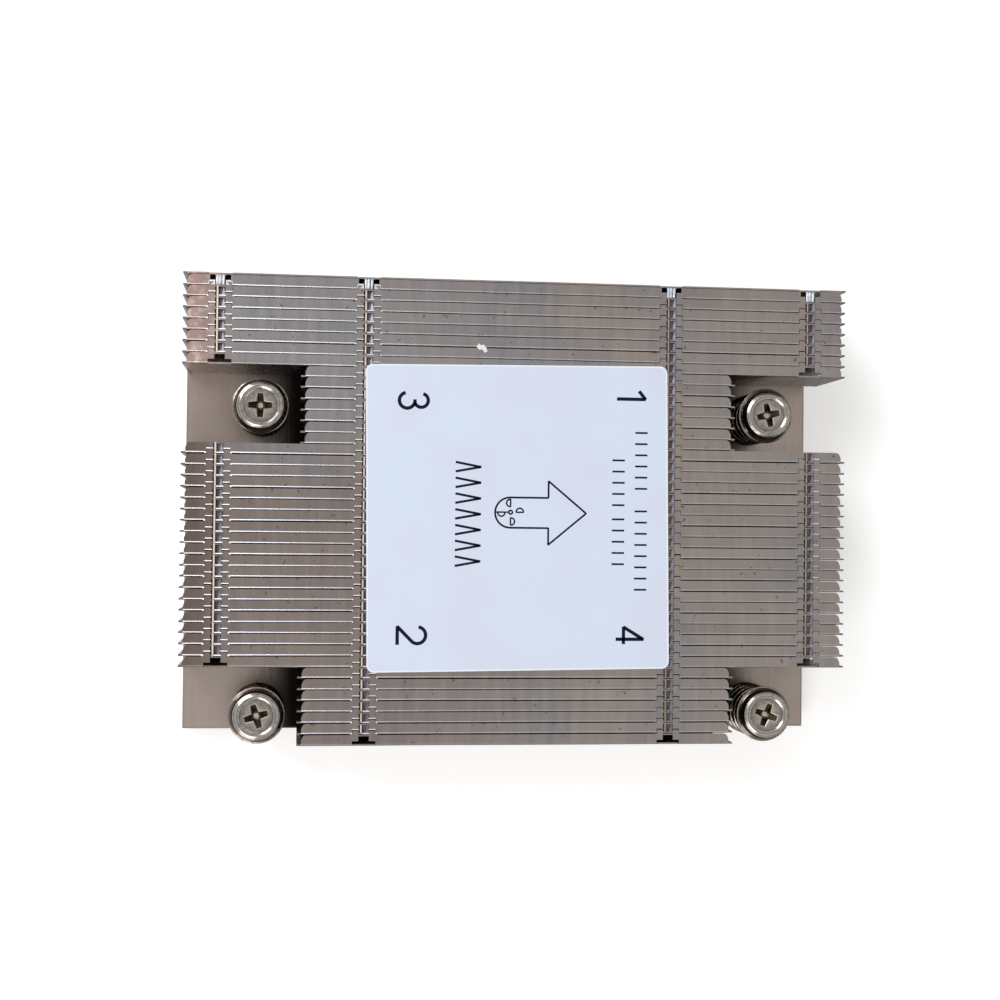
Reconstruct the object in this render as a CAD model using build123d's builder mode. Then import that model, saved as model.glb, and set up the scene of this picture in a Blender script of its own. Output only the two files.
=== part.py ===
from build123d import *
from math import cos, pi, sin
import os

# The part is a processor heatsink: a stack of folded, interlocked fins soldered to a base plate
# that is held down by four captive spring screws.
# +X is along the fins, +Y across them, +Z from the processor to the fin tops.
# The origin lies on the contact face, under the middle of the screw pattern.

# Screw pattern
screw_spacing_x = 94.0
screw_spacing_y = 56.0

# Base plate and the raised pad under it that meets the processor
pad_length = 50.0
pad_width = 46.0
pad_height = 2.0
pad_bevel = 0.4
plate_thickness = 3.5
plate_margin_left = 14.0
plate_margin_right = 11.5
plate_margin_front = 3.8
plate_bevel = 0.4
fin_overhang_front = 1.2

# Fin stack
fin_count = 43
fin_pitch = 2.0
stack_centre_y = 9.0
sheet = 0.3
fin_height = 20.0
fin_length = 120.0
web_overhang = 0.8
fold_bevel = 0.35
flange_corner = 0.7
fin_gap = 0.06

# Corner notches of the stack, which leave the four screws free
notch_reach = 8.0
notch_half_back = 7.0
notch_half_front = 9.0

# Interlocks: a T slot at each fin's fold takes the next fin's tab
inner_lock_inset = 11.25
outer_lock_inset = 5.9
slot_width = 4.1
slot_depth = 0.75
stem_width = 1.6
stem_depth = 1.75
lock_clearance = 0.08

# Captive screws
screw_travel = 6.0
stop_play = 0.05
head_radius = 4.3
head_flat_radius = 3.2
head_height = 2.3
head_rim_height = 1.1
shank_radius = 2.5
neck_radius = 1.6
thread_radius = 2.0
thread_reach = 1.8
recess_span = 4.2
recess_width = 1.0
recess_depth = 1.7
recess_tip_radius = 0.5
cross_turns = {"screw_1": 13.0, "screw_2": 17.0, "screw_3": 0.0, "screw_4": -20.0}

# Screw holes in the plate, tapped so that a thread passes through once and then keeps its screw captive
neck_clearance = 0.08

# Spring washers and springs
washer_radius = 5.15
washer_thickness = 0.6
washer_clearance = 0.08
spring_radius = 4.4
spring_wire = 1.0
spring_length = 14.1
spring_turns = 5.5
closed_turns = 1.0
closed_gap = 0.05
corners_per_turn = 8

# Label on the fin tops
label_width = 55.2
label_height = 55.5
label_thickness = 0.1
label_corner_radius = 1.3
label_x = -0.3
label_y = 8.2
label_turn = 0.8

# Levels and places that follow from the sizes above
screw_x = screw_spacing_x / 2
screw_y = screw_spacing_y / 2
plate_top = pad_height + plate_thickness
fin_top = plate_top + fin_height
stack_back = stack_centre_y + (fin_count - 1) / 2 * fin_pitch
stack_front = stack_centre_y - (fin_count - 1) / 2 * fin_pitch
plate_left = -screw_x - plate_margin_left
plate_right = screw_x + plate_margin_right
plate_back = stack_back + fin_pitch
plate_front = min(stack_front + fin_overhang_front, -screw_y - plate_margin_front)
short_length = screw_spacing_x - 2 * notch_reach
flange_reach = fin_pitch - fin_gap
inner_lock_x = short_length / 2 - inner_lock_inset
outer_lock_x = fin_length / 2 - outer_lock_inset
washer_bottom = plate_top + spring_length
washer_top = washer_bottom + washer_thickness
head_top = washer_top + head_height
shank_end = plate_top + screw_travel
screw_places = {
    "screw_1": (screw_x, screw_y),
    "screw_2": (-screw_x, -screw_y),
    "screw_3": (-screw_x, screw_y),
    "screw_4": (screw_x, -screw_y),
}

os.makedirs("parts", exist_ok=True)


def finish(name, part):
    """Label a finished piece and write its STEP file."""
    part.label = name
    export_step(part, f"parts/{name}.step")


# Base plate, machined in one piece with its contact pad
plate_middle = ((plate_left + plate_right) / 2, (plate_front + plate_back) / 2)
with BuildPart() as base_plate:
    with BuildSketch(Plane.XY.offset(pad_height)):
        with Locations(plate_middle):
            Rectangle(plate_right - plate_left, plate_back - plate_front)
    extrude(amount=plate_thickness)
    chamfer(base_plate.faces().sort_by(Axis.Z)[-1].edges(), length=plate_bevel)
    with BuildSketch(Plane.XY):
        Rectangle(pad_length, pad_width)
    extrude(amount=pad_height)
    chamfer(base_plate.faces().sort_by(Axis.Z)[0].edges(), length=pad_bevel)
    with BuildSketch(Plane.XY.offset(plate_top)):
        with Locations(*screw_places.values()):
            Circle(neck_radius + neck_clearance)
    extrude(amount=-plate_thickness, mode=Mode.SUBTRACT)
finish("base_plate", base_plate.part)


def folded_section(plane, flanged):
    """Draw the fin's folded section: a channel, or an L where it has no top flange.

    Each fold is drawn as one bevel, so that the stack's faces stay few.
    """
    inner_top = fin_height - sheet
    with BuildSketch(plane) as section:
        with BuildLine():
            Polyline((sheet, sheet), (flange_reach, sheet), (flange_reach, 0), (fold_bevel, 0), (0, fold_bevel))
            if flanged:
                Polyline(
                    (0, fold_bevel),
                    (0, fin_height - fold_bevel),
                    (fold_bevel, fin_height),
                    (flange_reach, fin_height),
                    (flange_reach, inner_top),
                    (sheet, inner_top),
                    (sheet, sheet),
                )
            else:
                Polyline((0, fold_bevel), (0, fin_height), (sheet, fin_height), (sheet, sheet))
        make_face()
    return section.sketch


def folded_fin(length, slot_xs, open_xs, tab_xs, flanged):
    """Make one fin with the outer face of its web on Y = 0 and its foot on Z = 0."""
    with BuildPart() as fin:
        extrude(folded_section(Plane.YZ.offset(-length / 2), flanged), amount=length)
        if flanged:
            corners = fin.edges().filter_by(Axis.Z).group_by(Axis.Y)[-1].group_by(Axis.Z)[-1]
            chamfer(corners, length=flange_corner)
        # The web runs past the flanges at both ends
        web_tip = (length + web_overhang) / 2
        with Locations((-web_tip, sheet / 2, fin_height / 2), (web_tip, sheet / 2, fin_height / 2)):
            Box(web_overhang, sheet, fin_height - 2 * fold_bevel)
        # Slots through the flange, the fold and the web's top edge, with a stem where no tab fills them
        with BuildSketch(Plane.XY.offset(fin_height)):
            with Locations(*[(x, slot_depth / 2) for x in slot_xs]):
                Rectangle(slot_width, slot_depth)
            if open_xs:
                with Locations(*[(x, stem_depth / 2) for x in open_xs]):
                    Rectangle(stem_width, stem_depth)
        extrude(amount=-sheet, mode=Mode.SUBTRACT)
        # Tabs that pass over the last fin's web into its slots
        if tab_xs:
            tab_length = slot_depth - lock_clearance + fin_gap
            with BuildSketch(Plane.XY.offset(fin_height)):
                with Locations(*[(x, flange_reach + tab_length / 2) for x in tab_xs]):
                    Rectangle(slot_width - 2 * lock_clearance, tab_length)
            extrude(amount=-sheet)
    return fin.part


def meets_notch(y):
    """Say whether a fin with its web at y would stand in a screw's notch."""
    back = screw_y - notch_half_back < y + flange_reach and y < screw_y + notch_half_back
    return back or y + flange_reach < -screw_y + notch_half_front


def lock_places(number):
    """Give the X places of a fin's interlocks, none where there is no such fin."""
    if number not in range(fin_count):
        return ()
    if meets_notch(stack_back - number * fin_pitch):
        return (-inner_lock_x, inner_lock_x)
    return (-outer_lock_x, -inner_lock_x, inner_lock_x, outer_lock_x)


made = {}
for number in range(fin_count):
    fin_y = stack_back - number * fin_pitch
    length = short_length if meets_notch(fin_y) else fin_length
    slots = lock_places(number)
    open_slots = tuple(x for x in slots if x not in lock_places(number + 1))
    tabs = tuple(x for x in slots if x in lock_places(number - 1))
    kind = (length, slots, open_slots, tabs, number > 0)
    if kind not in made:
        made[kind] = folded_fin(*kind)
    with BuildPart() as fin:
        with Locations((0, fin_y, plate_top)):
            add(made[kind])
    finish(f"fin_{number:02d}", fin.part)

# Cross recess cutter: two wedges that narrow towards the recess's blunt tip
with BuildPart() as recess:
    for turn in (0, 90):
        with BuildSketch(Plane.XZ.rotated((0, 0, turn)).offset(-recess_width / 2)):
            with BuildLine():
                Polyline(
                    (-recess_span / 2, head_top),
                    (recess_span / 2, head_top),
                    (recess_tip_radius, head_top - recess_depth),
                    (-recess_tip_radius, head_top - recess_depth),
                    close=True,
                )
            make_face()
        extrude(amount=recess_width)

for name, place in screw_places.items():
    # Screw: turned head, shank, neck and threaded end in one
    with BuildPart() as screw:
        with BuildSketch(Plane.XZ):
            with BuildLine():
                rim = head_top - head_rim_height
                thread_top = pad_height - stop_play
                thread_end = pad_height - thread_reach
                Polyline(
                    (0, thread_end),
                    (0, head_top),
                    (head_flat_radius, head_top),
                    (head_radius, rim),
                    (head_radius, washer_top),
                    (shank_radius, washer_top),
                    (shank_radius, shank_end),
                    (neck_radius, shank_end),
                    (neck_radius, thread_top),
                    (thread_radius, thread_top),
                    (thread_radius, thread_end),
                    (0, thread_end),
                )
            make_face()
        revolve(axis=Axis.Z)
        add(recess.part, rotation=(0, 0, cross_turns[name]), mode=Mode.SUBTRACT)
    with BuildPart() as placed_screw:
        with Locations(place):
            add(screw.part)
    finish(name, placed_screw.part)

    # Spring washer under the head
    with BuildPart() as washer:
        with BuildSketch(Plane.XY.offset(washer_bottom)):
            with Locations(place):
                Circle(washer_radius)
                Circle(shank_radius + washer_clearance, mode=Mode.SUBTRACT)
        extrude(amount=washer_thickness)
    finish(name.replace("screw", "washer"), washer.part)


def coil_point(step):
    """Give the centre of the wire at one corner of the coil, counted from its foot."""
    turn = step / corners_per_turn
    angle = 2 * pi * turn
    closed_pitch = spring_wire + closed_gap
    open_turns = spring_turns - 2 * closed_turns
    open_rise = spring_length - spring_wire - 2 * closed_turns * closed_pitch
    lower = min(turn, closed_turns) * closed_pitch
    middle = min(max(turn - closed_turns, 0), open_turns) / open_turns * open_rise
    upper = max(turn - closed_turns - open_turns, 0) * closed_pitch
    rise = plate_top + spring_wire / 2 + lower + middle + upper
    return (spring_radius * cos(angle), spring_radius * sin(angle), rise)


# Spring: a closed-end coil, drawn with straight runs and a six-sided wire so that its faces stay few
with BuildPart() as spring:
    with BuildLine() as coil:
        Polyline(*[coil_point(step) for step in range(round(spring_turns * corners_per_turn) + 1)])
    with BuildSketch(Plane(coil.line @ 0, x_dir=(1, 0, 0), z_dir=coil.line % 0)):
        RegularPolygon(spring_wire / 2, 6, rotation=0)
    sweep(transition=Transition.RIGHT)
for name, place in screw_places.items():
    with BuildPart() as placed_spring:
        with Locations(place):
            add(spring.part)
    finish(name.replace("screw", "spring"), placed_spring.part)

# Label
with BuildPart() as label:
    with BuildSketch(Plane.XY.offset(fin_top)):
        with Locations(Location((label_x, label_y, 0), (0, 0, label_turn))):
            RectangleRounded(label_width, label_height, label_corner_radius)
    extrude(amount=label_thickness)
finish("label", label.part)
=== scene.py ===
import logging
import math
from collections.abc import Callable
from dataclasses import dataclass, field
from enum import Enum
from typing import ClassVar

import bmesh
import bpy
from mathutils import Matrix, Vector


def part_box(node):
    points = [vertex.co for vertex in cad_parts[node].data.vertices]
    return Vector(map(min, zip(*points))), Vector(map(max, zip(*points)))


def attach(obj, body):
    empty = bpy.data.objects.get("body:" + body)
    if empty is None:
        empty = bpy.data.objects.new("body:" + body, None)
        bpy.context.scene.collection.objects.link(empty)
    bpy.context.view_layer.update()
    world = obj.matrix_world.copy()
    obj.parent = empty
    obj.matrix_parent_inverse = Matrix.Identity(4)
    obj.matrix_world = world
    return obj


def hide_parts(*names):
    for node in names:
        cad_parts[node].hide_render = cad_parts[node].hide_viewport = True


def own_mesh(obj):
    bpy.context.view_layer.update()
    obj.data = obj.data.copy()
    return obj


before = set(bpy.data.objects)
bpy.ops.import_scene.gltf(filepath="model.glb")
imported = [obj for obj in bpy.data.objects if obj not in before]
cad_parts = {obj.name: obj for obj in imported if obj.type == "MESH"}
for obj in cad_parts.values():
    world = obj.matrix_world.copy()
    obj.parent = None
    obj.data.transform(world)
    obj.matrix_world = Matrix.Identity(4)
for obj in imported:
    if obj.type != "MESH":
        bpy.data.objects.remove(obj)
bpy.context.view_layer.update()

# Sizes are in millimetres and the frame is in metres, so every mesh is scaled by MM once, when it is made.
MM = 0.001

logging.basicConfig(level=logging.INFO, format="%(message)s")
log = logging.getLogger("heatsink")

Point = tuple[float, float]
Stroke = list[Point]
Rgba = tuple[float, float, float, float]
Colour = str | bpy.types.NodeSocket


def linear(colour: str) -> Rgba:
    """Turn an sRGB hex colour into linear values.

    Args:
        colour: Six hex digits after a hash sign.

    Returns:
        Red, green, blue and an alpha of 1.
    """
    parts = [int(colour[start : start + 2], 16) / 255 for start in (1, 3, 5)]
    # These numbers are the sRGB standard's own
    values = [part / 12.92 if part <= 0.04045 else ((part + 0.055) / 1.055) ** 2.4 for part in parts]
    return (*values, 1.0)


def add_node(tree: bpy.types.NodeTree, kind: str, inputs: dict | None = None, **settings) -> bpy.types.Node:
    """Add a node with its settings, values and links.

    Args:
        tree: The shader or geometry tree.
        kind: Blender's name for the node's type.
        inputs: Input names or places, each with a value or with the output that feeds it.
        settings: The node's own properties.

    Returns:
        The new node.
    """
    node = tree.nodes.new(kind)
    for name, value in settings.items():
        setattr(node, name, value)
    for socket, value in (inputs or {}).items():
        if isinstance(value, bpy.types.NodeSocket):
            tree.links.new(value, node.inputs[socket])
        else:
            node.inputs[socket].default_value = value
    return node


def node_box(name: str) -> tuple[Vector, Vector]:
    """Give a CAD node's lowest and highest corners in millimetres."""
    low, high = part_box(name)
    return low / MM, high / MM


class Body(Enum):
    """The kinds of body that move apart."""

    STACK = "root"
    PRESS = "press"
    TURN = "turn"

    def named(self, number: int = 0) -> str:
        """Give the CAD body's name, with the screw's number where it has one."""
        return self.value if self is Body.STACK else f"{self.value}_{number}"


def placed(name: str, mesh: bpy.types.Mesh, smooth_angle: float) -> bpy.types.Object:
    """Shade a mesh smooth and link it as an object at the origin.

    Args:
        name: The object's name.
        mesh: Its mesh, in metres.
        smooth_angle: Edges that bend more than this many degrees stay sharp.

    Returns:
        The linked object.
    """
    mesh.shade_smooth()
    mesh.set_sharp_from_angle(angle=math.radians(smooth_angle))
    piece = bpy.data.objects.new(name, mesh)
    bpy.context.scene.collection.objects.link(piece)
    return piece


def fill_mesh(name: str, source: bmesh.types.BMesh, smooth_angle: float = 30.0) -> bpy.types.Object:
    """Turn a mesh in millimetres into an object at the origin.

    Args:
        name: The object's name.
        source: The mesh, which is freed.
        smooth_angle: Edges that bend more than this many degrees stay sharp.

    Returns:
        The linked object, in metres.
    """
    bmesh.ops.scale(source, vec=(MM, MM, MM), verts=source.verts)
    source.normal_update()
    mesh = bpy.data.meshes.new(name)
    source.to_mesh(mesh)
    source.free()
    return placed(name, mesh, smooth_angle)


def fill_outward(name: str, source: bmesh.types.BMesh, smooth_angle: float = 30.0) -> bpy.types.Object:
    """Turn closed shapes in millimetres into an object whose faces all point outwards."""
    bmesh.ops.recalc_face_normals(source, faces=source.faces)
    return fill_mesh(name, source, smooth_angle)


def applied(host: bpy.types.Object, name: str, smooth_angle: float = 30.0) -> bpy.types.Object:
    """Turn what an object's modifiers make into a plain mesh.

    Args:
        host: The object with the modifiers, which is removed.
        name: The new object's name.
        smooth_angle: Edges that bend more than this many degrees stay sharp.

    Returns:
        The linked plain object at the origin.
    """
    bpy.context.view_layer.update()
    depsgraph = bpy.context.evaluated_depsgraph_get()
    made = host.evaluated_get(depsgraph)
    mesh = bpy.data.meshes.new_from_object(made, preserve_all_data_layers=True, depsgraph=depsgraph)
    mesh.name = name
    bpy.data.objects.remove(host)
    return placed(name, mesh, smooth_angle)


def dress(piece: bpy.types.Object, material: bpy.types.Material, slot: str, body: str, *nodes: str) -> None:
    """Give a piece its material and its part in the frame, and report it.

    Args:
        piece: The finished piece.
        material: Its only material.
        slot: The record's slot that the material stands for. It is not used.
        body: The CAD body that the piece rides on.
        nodes: The CAD nodes that it replaces, if any.
    """
    piece.data.materials.clear()
    piece.data.materials.append(material)
    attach(piece, body)
    if nodes:
        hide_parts(*nodes)
    log.info("%s: %d faces on %s", piece.name, len(piece.data.polygons), body)


def new_material(name: str) -> tuple[bpy.types.Material, bpy.types.NodeTree, bpy.types.Node]:
    """Make a material with only a Principled shader in it.

    Args:
        name: The material's name.

    Returns:
        The material, its tree and the shader.
    """
    material = bpy.data.materials.new(name)
    material.use_nodes = True
    tree = material.node_tree
    tree.nodes.clear()
    shader = add_node(tree, "ShaderNodeBsdfPrincipled")
    add_node(tree, "ShaderNodeOutputMaterial", {"Surface": shader.outputs["BSDF"]})
    return material, tree, shader


def covered(
    tree: bpy.types.NodeTree, base: Colour, coat: Colour, *shares: bpy.types.NodeSocket | float
) -> bpy.types.NodeSocket:
    """Lay one colour over another.

    Args:
        tree: The material's tree.
        base: The colour below, as sRGB hex or an output.
        coat: The colour above, as sRGB hex or an output.
        shares: How much of it covers the base. Several shares are multiplied.

    Returns:
        The covered colour.
    """
    share, *others = shares
    for other in others:
        share = add_node(tree, "ShaderNodeMath", {0: share, 1: other}, operation="MULTIPLY").outputs[0]
    below, above = (linear(colour) if isinstance(colour, str) else colour for colour in (base, coat))
    return add_node(tree, "ShaderNodeMix", {0: share, 6: below, 7: above}, data_type="RGBA").outputs[2]


def share_along(
    tree: bpy.types.NodeTree, place: bpy.types.NodeSocket, axis: str, reach: Point, mirrored: bool = False
) -> bpy.types.NodeSocket:
    """Give a share that rises smoothly from 0 to 1 between two places on an axis.

    Args:
        tree: The material's tree.
        place: The object's own coordinates.
        axis: X, Y or Z.
        reach: Where the share is 0 and where it is 1, in millimetres.
        mirrored: Whether both sides of the middle are alike.

    Returns:
        The share.
    """
    length = add_node(tree, "ShaderNodeSeparateXYZ", {"Vector": place}).outputs[axis]
    if mirrored:
        length = add_node(tree, "ShaderNodeMath", {0: length}, operation="ABSOLUTE").outputs[0]
    inputs = {"Value": length, "From Min": reach[0] * MM, "From Max": reach[1] * MM}
    return add_node(tree, "ShaderNodeMapRange", inputs, interpolation_type="SMOOTHSTEP").outputs["Result"]


@dataclass(frozen=True)
class Patches:
    """Patches of a finish that come and go without order."""

    width: float
    detail: float
    span: Point
    most: float = 1.0

    def share(self, tree: bpy.types.NodeTree, place: bpy.types.NodeSocket) -> bpy.types.NodeSocket:
        """Give the share that is 0 between the patches and highest in their middle.

        Args:
            tree: The material's tree.
            place: The object's own coordinates.

        Returns:
            The share, from a noise that is cut off at the span's ends.
        """
        inputs = {"Vector": place, "Scale": 1 / (self.width * MM), "Detail": self.detail}
        noise = add_node(tree, "ShaderNodeTexNoise", inputs).outputs["Fac"]
        inputs = {"Value": noise, "From Min": self.span[0], "From Max": self.span[1], "To Max": self.most}
        return add_node(tree, "ShaderNodeMapRange", inputs).outputs["Result"]


@dataclass(frozen=True)
class PlatedSheet:
    """Nickel-plated metal: a warm grey mirror, softened by rolling marks and faint stains.

    Grain is the width of one rolling mark in millimetres, grain_run is its length, marks is how strongly it
    shows, and patch is the width of a stain.
    """

    name: str
    colour: str
    stain: str
    shine: str
    roughness: float
    grain: float
    grain_run: float
    marks: float
    patch: float
    stain_span: Point = (0.42, 0.62)
    mark_span: Point = (0.3, 0.75)
    rough_span: Point = (0.3, 0.7)
    rough_shares: Point = (0.8, 1.25)
    mark_depth: float = 0.02

    def material(self) -> bpy.types.Material:
        """Make the material.

        Returns:
            The material, with its stains, its marks and the tints of its own kind.
        """
        material, tree, shader = new_material(self.name)
        place = add_node(tree, "ShaderNodeTexCoord").outputs["Object"]
        stains = Patches(self.patch, 3.0, self.stain_span).share(tree, place)
        scale = (1 / (self.grain * MM), 1 / (self.grain_run * MM), 1 / (self.grain_run * MM))
        stretched = add_node(tree, "ShaderNodeMapping", {"Vector": place, "Scale": scale}).outputs["Vector"]
        inputs = {"Vector": stretched, "Scale": 1.0, "Detail": 4.0}
        marks = add_node(tree, "ShaderNodeTexNoise", inputs).outputs["Fac"]
        low, high = self.mark_span
        inputs = {"Value": marks, "From Min": low, "From Max": high, "To Max": self.marks}
        shown = add_node(tree, "ShaderNodeMapRange", inputs).outputs["Result"]
        base = covered(tree, covered(tree, self.colour, self.stain, stains), self.shine, shown)
        low, high = self.rough_span
        least, most = (self.roughness * share for share in self.rough_shares)
        inputs = {"Value": marks, "From Min": low, "From Max": high, "To Min": least, "To Max": most}
        rough = add_node(tree, "ShaderNodeMapRange", inputs).outputs["Result"]
        inputs = {"Strength": 0.05, "Distance": self.mark_depth * MM, "Height": marks}
        bump = add_node(tree, "ShaderNodeBump", inputs).outputs["Normal"]
        tree.links.new(self.tinted(tree, place, base), shader.inputs["Base Color"])
        tree.links.new(rough, shader.inputs["Roughness"])
        tree.links.new(bump, shader.inputs["Normal"])
        shader.inputs["Metallic"].default_value = 1.0
        return material

    def tinted(
        self, tree: bpy.types.NodeTree, place: bpy.types.NodeSocket, base: bpy.types.NodeSocket
    ) -> bpy.types.NodeSocket:
        """Give the colour with this kind of sheet's own tints, which are none."""
        return base


@dataclass(frozen=True)
class FinSheet(PlatedSheet):
    """The fins' sheet: each fin has its own tone, a painted highlight lies along its fold, painted shade over its
    left half and painted reflections on its left ends.
    """

    tones: Point = (0.94, 1.07)
    shade: str = "#6B5D55"
    cool_shade: str = "#84868E"
    shade_share: float = 0.4
    shade_reach: Point = (20.0, -38.0)
    cool_reach: Point = (10.0, 30.0)
    speck: str = "#473E39"
    specks: Patches = Patches(1.1, 2.0, (0.68, 0.74), 0.7)
    back_end_reflection: str = "#A28881"
    back_reflection_fleck: str = "#CDBDB0"
    reflection_flecks: Patches = Patches(1.6, 3.0, (0.48, 0.68), 0.7)
    middle_end_reflection: str = "#675A55"
    end_reach: Point = (-50.0, -60.0)
    behind_reach: Point = (20.0, 36.0)
    tip: str = "#666B70"
    tip_shade_reach: Point = (59.9, 60.2)
    fold_highlight: str = "#CED2DC"
    fold_dim_highlight: str = "#A99C98"
    fold_highlight_reach: Point = (-12.0, -60.0)
    fold_highlight_least: float = 0.3
    dull_least: float = 0.55

    def tinted(
        self, tree: bpy.types.NodeTree, place: bpy.types.NodeSocket, base: bpy.types.NodeSocket
    ) -> bpy.types.NodeSocket:
        """Add the left half's painted shade, specks, painted reflections on the left ends, painted shade on the web
        tips, the fin's tone and the painted highlight along the fold.

        Args:
            tree: The material's tree.
            place: The object's own coordinates.
            base: The plain sheet's colour.

        Returns:
            The colour with all tints.
        """
        # Painted shade over the left half, cooler and bluer towards the back
        cooled = covered(tree, self.shade, self.cool_shade, share_along(tree, place, "Y", self.cool_reach))
        base = covered(tree, base, cooled, share_along(tree, place, "X", self.shade_reach), self.shade_share)
        # Specks about 0.4 mm across, where the plating is pitted
        base = covered(tree, base, self.speck, self.specks.share(tree, place))
        # Painted reflections on the left ends: pinkish on the back fins, broken by flecks about 0.8 mm across, and
        # dark brown on the middle ones
        flecked = covered(tree, self.back_end_reflection, self.back_reflection_fleck, self.reflection_flecks.share(tree, place))
        end = share_along(tree, place, "X", self.end_reach)
        behind = share_along(tree, place, "Y", self.behind_reach)
        base = covered(tree, base, covered(tree, self.middle_end_reflection, flecked, behind), end)
        # Painted shade on the webs' tips past the flanges' ends
        base = covered(tree, base, self.tip, share_along(tree, place, "X", self.tip_shade_reach, mirrored=True))
        tone = add_node(tree, "ShaderNodeAttribute", attribute_name="fin_tone").outputs["Fac"]
        inputs = {"Value": tone, "To Min": self.tones[0], "To Max": self.tones[1]}
        level = add_node(tree, "ShaderNodeMapRange", inputs).outputs["Result"]
        toned = add_node(tree, "ShaderNodeHueSaturation", {"Color": base, "Value": level}).outputs["Color"]
        # The painted fold highlight is brightest at the left, and dimmer over the painted reflections on the ends
        inputs = {"Value": behind, "To Min": self.dull_least, "To Max": 1.0}
        dulled = add_node(tree, "ShaderNodeMapRange", inputs).outputs["Result"]
        highlight = covered(tree, self.fold_highlight, self.fold_dim_highlight, end, dulled)
        fold = add_node(tree, "ShaderNodeAttribute", attribute_name="fold").outputs["Fac"]
        left = share_along(tree, place, "X", self.fold_highlight_reach)
        inputs = {"Value": left, "To Min": self.fold_highlight_least, "To Max": 1.0}
        glow = add_node(tree, "ShaderNodeMapRange", inputs).outputs["Result"]
        return covered(tree, toned, highlight, fold, glow)


@dataclass(frozen=True)
class LockSheet(PlatedSheet):
    """An interlock's sheet with a painted highlight: brightest at the left columns, and as dull as the fins at the
    right ones.
    """

    dull: str = "#8F867F"
    reach: Point = (-50.0, 25.0)

    def tinted(
        self, tree: bpy.types.NodeTree, place: bpy.types.NodeSocket, base: bpy.types.NodeSocket
    ) -> bpy.types.NodeSocket:
        """Fade the painted highlight from the left columns to the right ones."""
        return covered(tree, base, self.dull, share_along(tree, place, "X", self.reach))


@dataclass(frozen=True)
class NotchPlate(PlatedSheet):
    """The plate's machined face: its top is darkened with painted shade towards the fins that stand on it."""

    fin_shade: str = "#16110F"
    fin_shade_reach: Point = (50.0, 40.5)
    fin_shade_levels: Point = (5.0, 5.4)

    def tinted(
        self, tree: bpy.types.NodeTree, place: bpy.types.NodeSocket, base: bpy.types.NodeSocket
    ) -> bpy.types.NodeSocket:
        """Darken the top's colour with painted shade towards the fins at both sides."""
        near = share_along(tree, place, "X", self.fin_shade_reach, mirrored=True)
        return covered(tree, base, self.fin_shade, near, share_along(tree, place, "Z", self.fin_shade_levels))


@dataclass(frozen=True)
class TurnedSteel:
    """Turned and plated steel: a bright mirror, dulled by small specks, with painted shade in its grooves and
    painted dark reflections in rings.
    """

    name: str
    colour: str
    shade: str
    roughness: float
    painted_shade: str = "#2E2823"
    speck: float = 0.8
    dull_span: Point = (0.45, 0.7)
    rough_span: Point = (0.35, 0.7)

    def material(self) -> bpy.types.Material:
        """Make the material.

        Returns:
            The material, with specks where the plating is dull, and painted shade where the mesh's attribute puts
            it.
        """
        material, tree, shader = new_material(self.name)
        place = add_node(tree, "ShaderNodeTexCoord").outputs["Object"]
        inputs = {"Vector": place, "Scale": 1 / (self.speck * MM), "Detail": 3.0}
        specks = add_node(tree, "ShaderNodeTexNoise", inputs).outputs["Fac"]
        inputs = {"Value": specks, "From Min": self.dull_span[0], "From Max": self.dull_span[1]}
        dull = add_node(tree, "ShaderNodeMapRange", inputs).outputs["Result"]
        low, high = self.rough_span
        inputs = {"Value": specks, "From Min": low, "From Max": high}
        inputs |= {"To Min": self.roughness, "To Max": self.roughness * 2}
        rough = add_node(tree, "ShaderNodeMapRange", inputs).outputs["Result"]
        painted_share = add_node(tree, "ShaderNodeAttribute", attribute_name="painted_shade").outputs["Fac"]
        base = covered(tree, covered(tree, self.colour, self.shade, dull), self.painted_shade, painted_share)
        tree.links.new(base, shader.inputs["Base Color"])
        tree.links.new(rough, shader.inputs["Roughness"])
        shader.inputs["Metallic"].default_value = 1.0
        return material


@dataclass(frozen=True)
class LabelFilm:
    """Coated white polyester film: cool white, half gloss, and it follows the fins under it."""

    name: str = "white_polyester_film"
    colour: str = "#D5E1F4"
    tint: str = "#D7DDF0"
    clouds: Patches = Patches(14.0, 2.0, (0.4, 0.62))
    rib_pitch: float = 2.0
    rib_depth: float = 0.05
    roughness: float = 0.38
    index: float = 1.57

    def material(self) -> bpy.types.Material:
        """Make the material.

        Returns:
            The material, with faint ribs at the fins' pitch and pink and blue clouds.
        """
        material, tree, shader = new_material(self.name)
        place = add_node(tree, "ShaderNodeTexCoord").outputs["Object"]
        base = covered(tree, self.colour, self.tint, self.clouds.share(tree, place))
        # A wave repeats every 2 pi over 20 of its scale's units
        scale = math.pi / 10 / (self.rib_pitch * MM)
        inputs = {"Vector": place, "Scale": scale, "Distortion": 0.4, "Detail": 1.0}
        ribs = add_node(tree, "ShaderNodeTexWave", inputs, bands_direction="Y").outputs["Fac"]
        inputs = {"Strength": 0.1, "Distance": self.rib_depth * MM, "Height": ribs}
        bump = add_node(tree, "ShaderNodeBump", inputs).outputs["Normal"]
        tree.links.new(base, shader.inputs["Base Color"])
        tree.links.new(bump, shader.inputs["Normal"])
        shader.inputs["Roughness"].default_value = self.roughness
        shader.inputs["IOR"].default_value = self.index
        return material


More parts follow.
